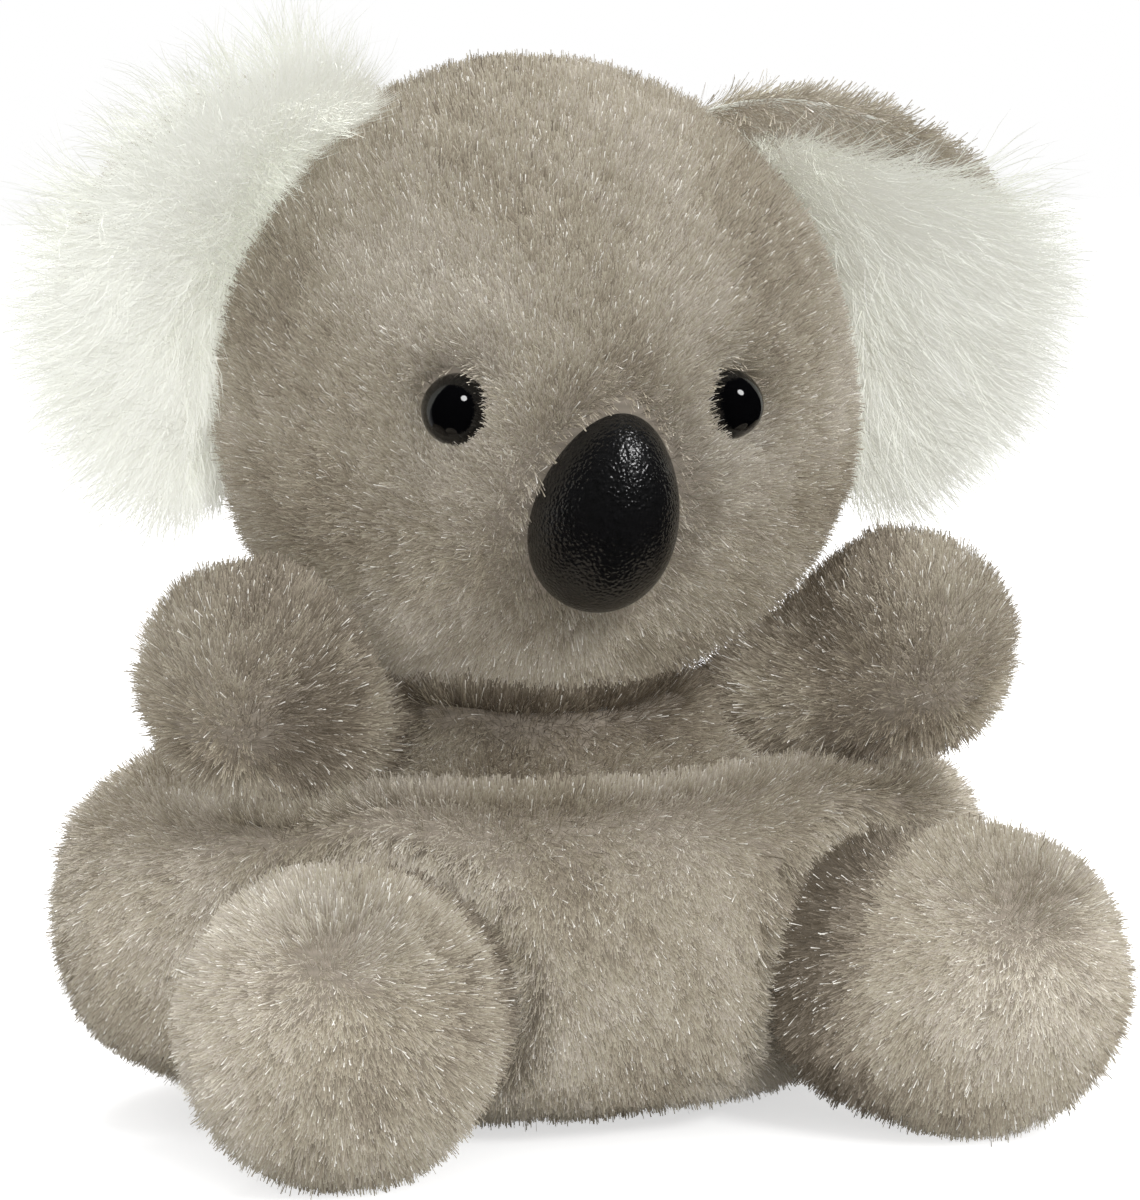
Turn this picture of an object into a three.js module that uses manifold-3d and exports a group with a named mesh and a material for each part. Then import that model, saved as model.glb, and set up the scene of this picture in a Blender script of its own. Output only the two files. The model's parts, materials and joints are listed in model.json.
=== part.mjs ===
// A sitting plush koala, palm sized, with a big round head on a bean-filled body.
// Units are millimetres and +Z is up. The face looks along -Y and the toy's own left is +X.
// The origin is on the floor, under the middle of the head.
// Each fur fabric panel is a shell as thick as its backing and pile, round a filling.

import * as THREE from "three";
import { mergeVertices } from "three/addons/utils/BufferGeometryUtils.js";
import Module from "manifold-3d";

const wasm = await Module();
wasm.setup();

// Fabric and clearances
const pileDepth = 5; // backing and pile of the short grey fur fabric
const backingThickness = 1.2; // the knitted backing alone, under the pile
const seamGap = 0.3; // between pieces that are sewn or pushed together
const turnGap = 0.7; // between a ball-shaped root and its cup
const threadGap = 0.5; // between the head and the stitches that it turns on
const sweepGap = 0.5; // between a limb and what it passes as it swings
const floorFlat = 0.5; // how much the weight flattens whatever rests on the floor

// Head
const headRadius = 35.3;
const muzzleSwell = 3.4; // how far the muzzle stands out of the round head
const cheekSwell = 1.8; // how far each cheek does
const headSeamSetback = 3; // the crown seam lies this far behind the head's centre

// Bean-filled belly sack
const sackHalfWidth = 54;
const sackHalfDepth = 39;
const sackHalfHeight = 21.5;
const sideSeamSetback = 1; // the side seams lie this far behind the middle

// Chest, between the arms
const chestHalfWidth = 28;
const chestHalfDepth = 22;
const chestHalfHeight = 20;
const chestLift = 12; // the chest's middle stands this far above the sack's middle

// Oval base panel
const baseHalfWidth = 30;
const baseHalfDepth = 18;

// Neck
const neckRise = 11.6; // the head's lowest point stands this far above the chest's middle
const neckEase = 3; // the neck cup is this much wider than the head, so that the cheeks pass
const neckOpeningRadius = 9;
const neckThreadThickness = 1.4;

// Arms
const armRootRadius = 7;
const handRadius = 12.6;
const armReach = 21; // shoulder to the middle of the hand
const armOpeningRadius = 4;

// Legs
const hipRadius = 15;
const footRadius = 17.1;
const legReach = 10; // hip to the middle of the foot
const legOpeningRadius = 7;

// Ears
const earReach = 24; // base seam to rim
const earHalfHeight = 25;
const earPileOverhang = 4.5; // the long white pile in front reaches this far past the rim
const earPileTopLeft = 0.5; // and this far past the left ear's top and bottom, as it is brushed
const earPileTopRight = 4.5; // and the right ear's
const earFrontSwell = 5.5; // long white pile
const earBackSwell = 4.2; // short grey pile
const earCup = 5; // how far the top and bottom of the rim curl forwards

// Eyes: a domed button on a post, held by a washer
const eyeRadius = 3.9;
const eyeDepth = 5.4;
const eyePostRadius = 1;
const eyePostLength = 6;
const eyeWasherRadius = 4.2;

// Nose: an egg-shaped moulded dome on a post, held by a washer
const noseHalfWidth = 7.9;
const noseHalfHeight = 11.2;
const noseDepth = 9.5;
const nosePostRadius = 1.8;
const nosePostLength = 7;
const noseWasherRadius = 5;

const washerThickness = 1.2;

// Pouch of pellets, inside the sack
const pouchHalfWidth = 31;
const pouchHalfDepth = 19;
const pouchHalfHeight = 10;
const pouchSetback = 10; // the pouch lies this far behind the middle
const pouchFlat = 2; // how deep its weight flattens it
const pouchWall = 0.8;
const pouchMouthRadius = 5;

// Places and outlines that follow the sizes above, as shares of them
const shoulderWidthShare = 0.86; // of the chest's half width
const shoulderForwardShare = 0.25; // of the chest's half depth
const shoulderHeightShare = 0.4; // of the chest's half height, above its middle
const hipWidthShare = 0.557; // of the sack's half width
const hipForwardShare = 0.8; // of the sack's half depth
const sackFullnessShares = [0.8, 0.6]; // below and above: 1 is an ellipsoid, less is squarer
const noseTaperShare = 0.14; // the nose is this much narrower at the top than at mid height

// Angles, in degrees
const headTurnAngle = -8.5; // the head looks a little to the toy's own right
const muzzleDropAngle = 12;
const muzzleSpreadAngle = 45;
const cheekSideAngle = 62;
const cheekDropAngle = 25;
const cheekSpreadAngle = 42;
const eyeSideAngle = 25.5;
const eyeRiseAngle = -0.5;
const noseDropAngle = 18;
const noseSideAngle = 1; // the nose sits a little to the toy's own left
const noseLeanAngle = -7.5;
const earSideAngle = 91; // where the ear's seam crosses the side of the head, from straight ahead
const earSeamRiseAngle = 21;
const earAheadAngle = 59; // where the ear points, from straight ahead
const earLeanLeftAngle = 24; // how far the top of the left ear leans forwards
const earLeanRightAngle = 16;
const earSwingAngles = [-15, 25]; // forwards to backwards
const armOutAngle = 50; // from straight ahead
const armUpAngle = 28;
const armSwingAngles = [-4, 40]; // forwards to backwards
const legOutAngle = 40;
const legSwingAngles = [-20, 6]; // up to down

// How finely round shapes are divided
const headSegments = 28;
const sackSegments = 28;
const limbSegments = 18;
const earSegments = 20;
const roomSegments = 16;
const smallSegments = 12;
const innerSegments = 16;
const innerRoomSegments = 8;
const flatSegments = 2;
const swingStepAngle = 30; // a swing is followed in steps of at most this many degrees

const radians = THREE.MathUtils.degToRad;
const weld = 1e-4;
const unmoved = new THREE.Matrix4();
const mirrored = new THREE.Matrix4().makeScale(-1, 1, 1);
const sides = { left: unmoved, right: mirrored };

// Heights and places that follow from the sizes
const sackMiddle = sackHalfHeight - floorFlat;
const chestMiddle = sackMiddle + chestLift;
const headMiddle = chestMiddle + neckRise + headRadius;
const wholeReach = headMiddle + sackHalfWidth;
const innerDepth = pileDepth + seamGap; // from the fur's surface to a filling's
const pileHeight = pileDepth - backingThickness;

const shoulder = new THREE.Vector3(
  chestHalfWidth * shoulderWidthShare,
  -chestHalfDepth * shoulderForwardShare,
  chestMiddle + chestHalfHeight * shoulderHeightShare,
);
const hip = new THREE.Vector3(
  sackHalfWidth * hipWidthShare,
  -sackHalfDepth * hipForwardShare,
  footRadius - floorFlat,
);

const furGrey = new THREE.MeshStandardMaterial({ color: 0xa89f94, roughness: 0.95 });
const furWhite = new THREE.MeshStandardMaterial({ color: 0xeef0ec, roughness: 0.95 });
const glossBlack = new THREE.MeshStandardMaterial({ color: 0x0b0b0d, roughness: 0.12 });
const grainedBlack = new THREE.MeshStandardMaterial({ color: 0x161617, roughness: 0.42 });
const washerWhite = new THREE.MeshStandardMaterial({ color: 0xe6e4dd, roughness: 0.5 });
const fibreWhite = new THREE.MeshStandardMaterial({ color: 0xf4f3ee, roughness: 1 });
const pouchCloth = new THREE.MeshStandardMaterial({ color: 0xd9d6cd, roughness: 0.9 });
const pelletPlastic = new THREE.MeshStandardMaterial({ color: 0xf0efe9, roughness: 0.4 });
const greyThread = new THREE.MeshStandardMaterial({ color: 0x8b8379, roughness: 0.8 });

// A closed solid from a three.js geometry, placed by a matrix that may mirror it.
function solid(geometry, matrix = unmoved) {
  const bare = geometry.index ? geometry.toNonIndexed() : geometry.clone();
  bare.deleteAttribute("normal");
  bare.deleteAttribute("uv");
  bare.applyMatrix4(matrix);
  const merged = mergeVertices(bare, weld);
  const corners = merged.index.array;
  const turnedOver = matrix.determinant() < 0;
  const faces = [];
  for (let i = 0; i < corners.length; i += 3) {
    const [a, b, c] = corners.subarray(i, i + 3);
    if (a === b || b === c || a === c) continue;
    faces.push(...(turnedOver ? [a, c, b] : [a, b, c]));
  }
  return new wasm.Manifold(new wasm.Mesh({
    numProp: 3,
    vertProperties: merged.attributes.position.array,
    triVerts: new Uint32Array(faces),
  }));
}

// The named mesh of a solid.
function piece(name, shape, material) {
  const { vertProperties, triVerts, numProp } = shape.getMesh();
  const places = new Float32Array(vertProperties.length / numProp * 3);
  for (let i = 0; i < places.length / 3; i++) {
    places.set(vertProperties.subarray(i * numProp, i * numProp + 3), i * 3);
  }
  const geometry = new THREE.BufferGeometry();
  geometry.setAttribute("position", new THREE.BufferAttribute(places, 3));
  geometry.setIndex(new THREE.BufferAttribute(triVerts, 1));
  const mesh = new THREE.Mesh(geometry, material);
  mesh.name = name;
  return mesh;
}

const cutFrom = (shape, ...cutters) => cutters.reduce((left, cutter) => left.subtract(cutter), shape);
const joined = (shape, ...others) => others.reduce((sum, other) => sum.add(other), shape);
const placed = (x, y, z) => new THREE.Matrix4().makeTranslation(x, y, z);
const product = (...matrices) => matrices.reduce((left, right) => left.clone().multiply(right));

// A group that stands and turns as a matrix says.
function groupAt(matrix, ...members) {
  const group = new THREE.Group();
  group.applyMatrix4(matrix);
  group.add(...members);
  return group;
}

// A block that holds everything on one side of a plane across an axis.
function sideOf(axis, from, direction) {
  const centre = new THREE.Vector3();
  centre[axis] = from + direction * wholeReach;
  return new THREE.BoxGeometry(2 * wholeReach, 2 * wholeReach, 2 * wholeReach)
    .translate(...centre);
}

// Moves each corner of a geometry to where a function of its place says.
function reshaped(geometry, move) {
  const at = geometry.attributes.position;
  const place = new THREE.Vector3();
  for (let i = 0; i < at.count; i++) {
    place.fromBufferAttribute(at, i);
    move(place);
    at.setXYZ(i, ...place);
  }
  return geometry;
}

// A unit ball with its poles on Z.
const unitBall = (segments) =>
  new THREE.SphereGeometry(1, segments, Math.round(segments / 2)).rotateX(Math.PI / 2);

// A ball stretched to three half sizes. Fullness below 1 squares the lower or upper half's outline.
function swollenBall(halfX, halfY, halfZ, segments, [lower, upper] = [1, 1]) {
  return reshaped(unitBall(segments), (place) => {
    const fullness = place.z < 0 ? lower : upper;
    const level = Math.hypot(place.x, place.y);
    const wider = level ? level ** (fullness - 1) : 0;
    place.set(
      place.x * wider * halfX,
      place.y * wider * halfY,
      Math.sign(place.z) * Math.abs(place.z) ** fullness * halfZ,
    );
  });
}

// Half a unit ball: a flat disc across Y at the origin, domed towards +Y.
function halfBall(segments) {
  const outline = [];
  for (let i = 0; i < flatSegments; i++) outline.push(new THREE.Vector2(i / flatSegments, 0));
  const rise = new THREE.Path().absarc(0, 0, 1, 0, Math.PI / 2, false);
  outline.push(...rise.getPoints(Math.round(segments / 8)));
  return new THREE.LatheGeometry(outline, segments);
}

// A rod along Y, between two distances from the origin.
function rod(radius, from, to, segments = smallSegments) {
  return new THREE.CylinderGeometry(radius, radius, to - from, segments)
    .translate(0, (from + to) / 2, 0);
}

// A limb along +Z, from its root ball round the origin to the larger ball at its tip.
function limb([rootRadius, tipRadius, reach], grow, segments, frame = unmoved) {
  const root = rootRadius + grow;
  const tip = tipRadius + grow;
  const taper = Math.asin((tip - root) / reach);
  const outline = new THREE.Path()
    .absarc(0, 0, root, -Math.PI / 2, -taper, false)
    .absarc(0, reach, tip, -taper, Math.PI / 2, false)
    .getPoints(Math.round(segments / 8));
  return solid(new THREE.LatheGeometry(outline, segments).rotateX(Math.PI / 2), frame);
}

// How much larger a faceted round is made, so that its flats stay outside the true round.
const outside = (segments) => 1 / Math.cos(Math.PI / segments) ** 2;

// A limb's frame on the toy's left: its root, and +Z along it. X is level.
function limbFrame(start, out, up) {
  const direction = new THREE.Vector3(0, -1, 0)
    .applyAxisAngle(new THREE.Vector3(-1, 0, 0), radians(up))
    .applyAxisAngle(new THREE.Vector3(0, 0, 1), radians(out));
  const across = new THREE.Vector3(0, 0, 1).cross(direction).normalize();
  const over = direction.clone().cross(across);
  return new THREE.Matrix4().makeBasis(across, over, direction).setPosition(start);
}

const upward = new THREE.Vector3(0, 0, 1);
const armFrame = limbFrame(shoulder, armOutAngle, armUpAngle);
const legFrame = limbFrame(hip, legOutAngle, 0);
const arms = {
  sizes: [armRootRadius, handRadius, armReach],
  opening: armOpeningRadius,
  frame: armFrame,
  axis: upward,
  swing: armSwingAngles,
};
const legs = {
  sizes: [hipRadius, footRadius, legReach],
  opening: legOpeningRadius,
  frame: legFrame,
  axis: new THREE.Vector3().setFromMatrixColumn(legFrame, 0),
  swing: legSwingAngles,
};

// A limb's frame, turned about the axis through its root.
function turned({ frame, axis }, angle) {
  const start = new THREE.Vector3().setFromMatrixPosition(frame);
  return product(
    placed(...start),
    new THREE.Matrix4().makeRotationAxis(axis, radians(angle)),
    placed(...start.negate()),
    frame,
  );
}

// The room that both limbs of a pair need as they swing: a cup for the root, and the limb itself.
function swingRoom(pair, grow, segments) {
  const [root, tip, reach] = pair.sizes;
  const wider = outside(segments);
  const roomSizes = [(root + sweepGap) * wider, (tip + sweepGap) * wider, reach];
  const cup = roomSizes[0] * wider + grow;
  const [first, last] = pair.swing;
  const steps = Math.ceil((last - first) / swingStepAngle);
  return Object.values(sides).flatMap((mirror) => {
    const room = [solid(unitBall(segments).scale(cup, cup, cup), product(mirror, pair.frame))];
    for (let step = 0; step <= steps; step++) {
      const frame = turned(pair, THREE.MathUtils.lerp(first, last, step / steps));
      room.push(limb(roomSizes, grow, segments, product(mirror, frame)));
    }
    return room;
  });
}

// Much the same room as one plain shape for each limb, which the hollow inside a skin keeps clear of.
function plainRoom(pair, grow, segments) {
  const [root, tip, reach] = pair.sizes;
  const [first, last] = pair.swing;
  const sweep = reach * Math.sin(radians((last - first) / 2));
  const roomSizes = [root + turnGap, tip + sweepGap + sweep, reach];
  const frame = turned(pair, (first + last) / 2);
  return Object.values(sides).map((mirror) => limb(roomSizes, grow, segments, product(mirror, frame)));
}

const sackForm = (grow, segments) => solid(
  swollenBall(
    sackHalfWidth + grow, sackHalfDepth + grow, sackHalfHeight + grow, segments, sackFullnessShares),
  placed(0, 0, sackMiddle),
);
const chestForm = (grow, segments) => solid(
  swollenBall(chestHalfWidth + grow, chestHalfDepth + grow, chestHalfHeight + grow, segments),
  placed(0, 0, chestMiddle),
);

// Sack and chest, cupped under the head and hollowed for the limbs. Grow moves every surface.
function bodyForm(grow, segments, roomFor, hollowSegments) {
  return cutFrom(
    joined(sackForm(grow, segments), chestForm(grow, segments)),
    neckCup(-grow, segments),
    ...roomFor(arms, -grow, hollowSegments),
    ...roomFor(legs, -grow, hollowSegments),
    solid(sideOf("z", -grow, -1)),
  );
}

const innerBody = (depth) => bodyForm(-depth, innerSegments, plainRoom, innerRoomSegments);

function neckCup(grow, segments) {
  const radius = cupRadius * outside(segments) + grow;
  return solid(unitBall(segments).scale(radius, radius, radius),
    placed(0, 0, headMiddle + neckEase));
}

// The opening in a panel, and the plug of filling in it, along Z between two heights.
const neckColumn = (radius, from, to) => solid(rod(radius, from, to).rotateX(Math.PI / 2));

const cupRadius = headRadius + turnGap + neckEase;

// The ring of ladder stitches, which lies against the head at the opening's edge.
const threadReach = headRadius + threadGap + neckThreadThickness / 2;
const threadMiddle = headMiddle - Math.sqrt(threadReach ** 2 - neckOpeningRadius ** 2);

function threadRing(grow) {
  const ring = new THREE.TorusGeometry(
    neckOpeningRadius, neckThreadThickness / 2 + grow, smallSegments / 2, smallSegments);
  return solid(ring, placed(0, 0, threadMiddle));
}

// Body: three panels round the filling, and the pouch of pellets
function makeBody() {
  const shell = cutFrom(
    bodyForm(0, sackSegments, swingRoom, roomSegments),
    innerBody(pileDepth),
    neckColumn(neckOpeningRadius, sackMiddle, headMiddle),
    threadRing(seamGap),
  );
  const basePlug = (grow) => solid(
    rod(1, -sackMiddle, innerDepth + pileDepth / 2, innerSegments).rotateX(Math.PI / 2)
      .scale(baseHalfWidth + grow, baseHalfDepth + grow, 1));
  const upper = shell.subtract(basePlug(seamGap / 2));
  const seam = sideSeamSetback;
  const front = cutFrom(upper, solid(sideOf("y", seam - seamGap / 2, 1)));
  const back = cutFrom(upper, solid(sideOf("y", seam + seamGap / 2, -1)));
  const base = shell.intersect(basePlug(-seamGap / 2));

  const pouchMiddle = innerDepth + pouchHalfHeight - pouchFlat;
  const pouchForm = (grow) => {
    const pouch = swollenBall(
      pouchHalfWidth + grow, pouchHalfDepth + grow, pouchHalfHeight + grow, innerSegments);
    return solid(pouch, placed(0, pouchSetback, pouchMiddle))
      .intersect(sackForm(grow - innerDepth, innerSegments))
      .subtract(solid(sideOf("z", innerDepth - grow, -1)));
  };
  const filling = cutFrom(
    joined(
      innerBody(innerDepth),
      neckColumn(neckOpeningRadius - seamGap, sackMiddle, headMiddle),
    ),
    neckCup(0, innerSegments),
    threadRing(seamGap),
    pouchForm(seamGap),
  );
  const mouth = neckColumn(pouchMouthRadius, pouchMiddle, wholeReach)
    .translate(0, pouchSetback, 0);
  return [
    piece("body_front_panel", front, furGrey),
    piece("body_back_panel", back, furGrey),
    piece("base_panel", base, furGrey),
    piece("body_filling", filling, fibreWhite),
    piece("pellet_pouch", cutFrom(pouchForm(0), pouchForm(-pouchWall), mouth), pouchCloth),
    piece("pellets", pouchForm(-pouchWall - seamGap), pelletPlastic),
  ];
}

// An arm or a leg: its skin, open where it is sewn on, and its filling
function makeLimb(name, { sizes, opening, frame }) {
  const toLimb = frame.clone().invert();
  const form = (grow, segments) => cutFrom(
    limb(sizes, grow, segments),
    solid(sideOf("z", -grow, -1), toLimb),
  );
  const hole = solid(rod(opening, -wholeReach, 0).rotateX(Math.PI / 2));
  const skin = cutFrom(form(0, limbSegments), form(-pileDepth, innerSegments), hole);
  return groupAt(
    frame,
    piece(name, skin, furGrey),
    piece(`${name}_filling`, form(-innerDepth, innerSegments), fibreWhite),
  );
}

// Head: everything here is placed from the head's centre
const towards = (side, drop) => new THREE.Vector3(0, -1, 0)
  .applyAxisAngle(new THREE.Vector3(1, 0, 0), radians(drop))
  .applyAxisAngle(upward, radians(side));
const swellings = [
  { axis: towards(0, muzzleDropAngle), swell: muzzleSwell, spread: muzzleSpreadAngle },
  { axis: towards(cheekSideAngle, cheekDropAngle), swell: cheekSwell, spread: cheekSpreadAngle },
  { axis: towards(-cheekSideAngle, cheekDropAngle), swell: cheekSwell, spread: cheekSpreadAngle },
];

// How far the fur's surface stands from the head's centre in a direction.
function headReach(direction) {
  const bump = ({ axis, swell, spread }) => {
    const edge = Math.cos(radians(spread));
    return swell * Math.max(0, (direction.dot(axis) - edge) / (1 - edge)) ** 2;
  };
  return swellings.reduce((reach, swelling) => reach + bump(swelling), headRadius);
}

function headForm(grow, segments, frame) {
  const form = reshaped(unitBall(segments), (place) => place.setLength(headReach(place) + grow));
  return solid(form, frame);
}

// A frame on the face: +Y leaves the head's centre, and +Z is up the face.
function faceFrame(side, rise, lean) {
  return product(
    new THREE.Matrix4().makeRotationZ(Math.PI + radians(side)),
    new THREE.Matrix4().makeRotationX(radians(rise)),
    new THREE.Matrix4().makeRotationY(radians(lean)),
  );
}

// Where a button's base and its washer's outer face lie, from the head's centre.
function buttonSeats(frame, washerRadius) {
  const reachAt = (x, z) => headReach(new THREE.Vector3(x, headRadius, z).transformDirection(frame));
  const rim = [-washerRadius, washerRadius].flatMap((r) => [reachAt(r, 0), reachAt(0, r)]);
  const inside = (Math.min(...rim) - pileDepth) * Math.cos(Math.PI / innerSegments) ** 2;
  return {
    base: reachAt(0, 0) - pileHeight + seamGap,
    washer: Math.sqrt(inside ** 2 - washerRadius ** 2) - seamGap,
  };
}

function washer(postRadius, radius, seat) {
  return cutFrom(
    solid(rod(radius, seat - washerThickness, seat)),
    solid(rod(postRadius + seamGap, seat - 2 * washerThickness, seat + washerThickness)),
  );
}

// A unit round across Y, made egg-shaped: narrower towards the top.
function egg(geometry, grow) {
  return reshaped(geometry, (place) => {
    place.x *= (noseHalfWidth + grow) * (1 - noseTaperShare * place.z);
    place.z *= noseHalfHeight + grow;
  });
}

const ears = {
  left: { mirror: sides.left, lean: earLeanLeftAngle, rise: earPileTopLeft },
  right: { mirror: sides.right, lean: earLeanRightAngle, rise: earPileTopRight },
};

// An ear's frame on the toy's left: its base at the head's side, X outwards and Y backwards.
function earFrame(lean) {
  const base = towards(earSideAngle, -earSeamRiseAngle).multiplyScalar(headRadius);
  return product(
    placed(...base),
    new THREE.Matrix4().makeRotationZ(radians(earAheadAngle) - Math.PI / 2),
    new THREE.Matrix4().makeRotationX(radians(lean)),
  );
}

// Ear: a white front and a grey back, both cupped forwards and thinned where they fold on the head
function makeEar(side, lean, rise) {
  const fromHead = earFrame(lean).invert();
  const folds = [earSwingAngles[0], 0, earSwingAngles[1]].map((angle) => {
    const turn = new THREE.Matrix4().makeRotationZ(radians(-angle));
    return headForm(sweepGap, headSegments, product(turn, fromHead));
  });
  const half = (swell, direction, overhang, taller) => {
    const lens = reshaped(halfBall(earSegments), (place) => {
      const height = place.z * (earHalfHeight + taller);
      place.set(
        place.x * (earReach + overhang),
        direction * (seamGap / 2 + place.y * swell) - earCup * (height / earHalfHeight) ** 2,
        height,
      );
    });
    if (direction < 0) lens.index.array.reverse();
    return cutFrom(solid(lens), ...folds);
  };
  return [
    piece(`${side}_ear_front`, half(earFrontSwell, -1, earPileOverhang, rise), furWhite),
    piece(`${side}_ear_back`, half(earBackSwell, 1, 0, 0), furGrey),
  ];
}

// Head: face and back panels, filling, eyes, nose, washers and ears
function makeHead() {
  const opening = neckColumn(neckOpeningRadius, -wholeReach, 0);
  const plug = neckColumn(neckOpeningRadius - seamGap, -wholeReach, 0);
  const outer = headForm(0, headSegments);
  const shell = cutFrom(outer, headForm(-pileDepth, innerSegments), opening);
  const seam = headSeamSetback;
  let face = cutFrom(shell, solid(sideOf("y", seam - seamGap / 2, 1)));
  const back = cutFrom(shell, solid(sideOf("y", seam + seamGap / 2, -1)));
  let filling = joined(
    headForm(-innerDepth, innerSegments),
    plug.intersect(headForm(-seamGap, innerSegments)),
  );
  const members = [];

  const eye = (name, frame) => {
    const seats = buttonSeats(frame, eyeWasherRadius);
    const dome = halfBall(smallSegments).scale(eyeRadius, eyeDepth, eyeRadius);
    const button = joined(
      solid(dome, placed(0, seats.base, 0)),
      solid(rod(eyePostRadius, seats.base - eyePostLength, seats.base + eyeDepth / 2)),
    );
    face = cutFrom(
      face,
      solid(rod(eyeRadius + seamGap, seats.base - seamGap, wholeReach), frame),
      solid(rod(eyePostRadius + seamGap, 0, wholeReach), frame),
    );
    filling = filling.subtract(solid(
      rod(eyeWasherRadius + seamGap, seats.base - eyePostLength - seamGap, wholeReach), frame));
    members.push(groupAt(
      frame,
      piece(name, button, glossBlack),
      piece(`${name}_washer`, washer(eyePostRadius, eyeWasherRadius, seats.washer), washerWhite),
    ));
  };
  eye("left_eye", faceFrame(eyeSideAngle, eyeRiseAngle, 0));
  eye("right_eye", faceFrame(-eyeSideAngle, eyeRiseAngle, 0));

  const noseFrame = faceFrame(noseSideAngle, -noseDropAngle, noseLeanAngle);
  const noseSeats = buttonSeats(noseFrame, noseWasherRadius);
  const noseDome = egg(halfBall(earSegments), 0).scale(1, noseDepth, 1);
  const nose = joined(
    solid(noseDome, placed(0, noseSeats.base, 0)),
    solid(rod(nosePostRadius, noseSeats.base - nosePostLength, noseSeats.base + noseDepth / 2)),
  );
  const noseHole = egg(rod(1, noseSeats.base - seamGap, wholeReach, earSegments), seamGap);
  face = cutFrom(
    face,
    solid(noseHole, noseFrame),
    solid(rod(nosePostRadius + seamGap, 0, wholeReach), noseFrame),
  );
  filling = filling.subtract(solid(
    rod(noseWasherRadius + seamGap, noseSeats.base - nosePostLength - seamGap, wholeReach), noseFrame));
  members.push(groupAt(
    noseFrame,
    piece("nose", nose, grainedBlack),
    piece("nose_washer", washer(nosePostRadius, noseWasherRadius, noseSeats.washer), washerWhite),
  ));

  members.push(
    piece("face_panel", face, furGrey),
    piece("head_back_panel", back, furGrey),
    piece("head_filling", filling, fibreWhite),
  );
  for (const [side, { mirror, lean, rise }] of Object.entries(ears)) {
    members.push(groupAt(mirror, groupAt(earFrame(lean), ...makeEar(side, lean, rise))));
  }
  return members;
}

const koala = new THREE.Group();
koala.add(...makeBody());
koala.add(piece("neck_thread", threadRing(0), greyThread));
koala.add(groupAt(
  product(placed(0, 0, headMiddle), new THREE.Matrix4().makeRotationZ(radians(headTurnAngle))),
  ...makeHead(),
));
for (const [side, mirror] of Object.entries(sides)) {
  koala.add(groupAt(mirror, makeLimb(`${side}_arm`, arms), makeLimb(`${side}_leg`, legs)));
}

export default koala;
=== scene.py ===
import json
import math

import bpy
import numpy as np
from mathutils import Matrix, Vector

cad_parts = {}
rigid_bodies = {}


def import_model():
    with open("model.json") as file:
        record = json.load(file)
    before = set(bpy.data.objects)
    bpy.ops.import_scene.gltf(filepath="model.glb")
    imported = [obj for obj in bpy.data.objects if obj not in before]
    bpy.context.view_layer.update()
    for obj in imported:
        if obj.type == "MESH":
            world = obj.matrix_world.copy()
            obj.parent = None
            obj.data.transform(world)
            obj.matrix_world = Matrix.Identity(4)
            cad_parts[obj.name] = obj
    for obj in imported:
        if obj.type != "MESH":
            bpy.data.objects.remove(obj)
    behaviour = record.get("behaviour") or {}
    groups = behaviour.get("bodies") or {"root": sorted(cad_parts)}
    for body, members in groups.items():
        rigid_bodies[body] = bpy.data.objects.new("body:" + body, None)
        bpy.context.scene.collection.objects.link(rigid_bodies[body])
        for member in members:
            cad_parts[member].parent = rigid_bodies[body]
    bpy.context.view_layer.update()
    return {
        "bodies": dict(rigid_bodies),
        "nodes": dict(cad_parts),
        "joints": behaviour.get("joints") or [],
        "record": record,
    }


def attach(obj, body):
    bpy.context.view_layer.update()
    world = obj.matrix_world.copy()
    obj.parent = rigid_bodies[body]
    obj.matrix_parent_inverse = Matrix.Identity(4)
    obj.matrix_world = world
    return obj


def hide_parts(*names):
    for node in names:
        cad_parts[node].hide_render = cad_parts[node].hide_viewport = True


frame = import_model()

bpy.ops.object.select_all(action="DESELECT")
MM = 0.001  # the sizes below are in millimetres, and the scene is in metres
joints = {joint["name"]: joint for joint in frame["joints"]}

# Camera
# A long lens to the toy's right, a little above its middle, as the photograph was taken.
camera_turn, camera_rise = math.radians(-22), math.radians(7)
camera_distance = 700
aim_height, aim_aside = 55.35, 4.8
lens, sensor = 189, 36

away = Vector((math.sin(camera_turn) * math.cos(camera_rise),
               -math.cos(camera_turn) * math.cos(camera_rise), math.sin(camera_rise)))
aside = Vector((math.cos(camera_turn), math.sin(camera_turn), 0))
aim = Vector((0, 0, aim_height)) + aside * aim_aside
bpy.ops.object.camera_add(location=(aim + away * camera_distance) * MM,
                          rotation=(-away).to_track_quat("-Z", "Y").to_euler())
camera = bpy.context.object
camera.name = "camera"
camera.data.lens = lens
camera.data.sensor_width = sensor
camera.data.clip_start = 0.01
bpy.context.scene.camera = camera
bpy.context.scene.view_settings.view_transform = "Standard"

# Studio
# A white sweep under a white sky that is brighter overhead, with a soft key lamp high in front and a wide
# lamp high behind. The side that the camera stands on is dark to gloss, as an unlit room is.


def colour(hex_code):
    """sRGB hex to the linear colour that a shader takes."""
    channels = [int(hex_code[i:i + 2], 16) / 255 for i in (0, 2, 4)]
    return [c / 12.92 if c <= 0.04045 else ((c + 0.055) / 1.055) ** 2.4 for c in channels] + [1]


def add_node(tree, kind, links=(), stops=(), **settings):
    """Adds a node, sets its settings and sockets by name, links its sockets from others, and gives a colour
    ramp its (position, hex) stops."""
    node = tree.nodes.new(kind)
    for name, value in settings.items():
        if hasattr(node, name):
            setattr(node, name, value)
        else:
            node.inputs[name.replace("_", " ")].default_value = value
    for socket, source in dict(links).items():
        tree.links.new(source, node.inputs[socket])
    if stops:
        elements = node.color_ramp.elements
        while len(elements) < len(stops):
            elements.new(0.5)
        for element, (position, hex_code) in zip(elements, stops):
            element.position, element.color = position, colour(hex_code)
    return node


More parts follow.
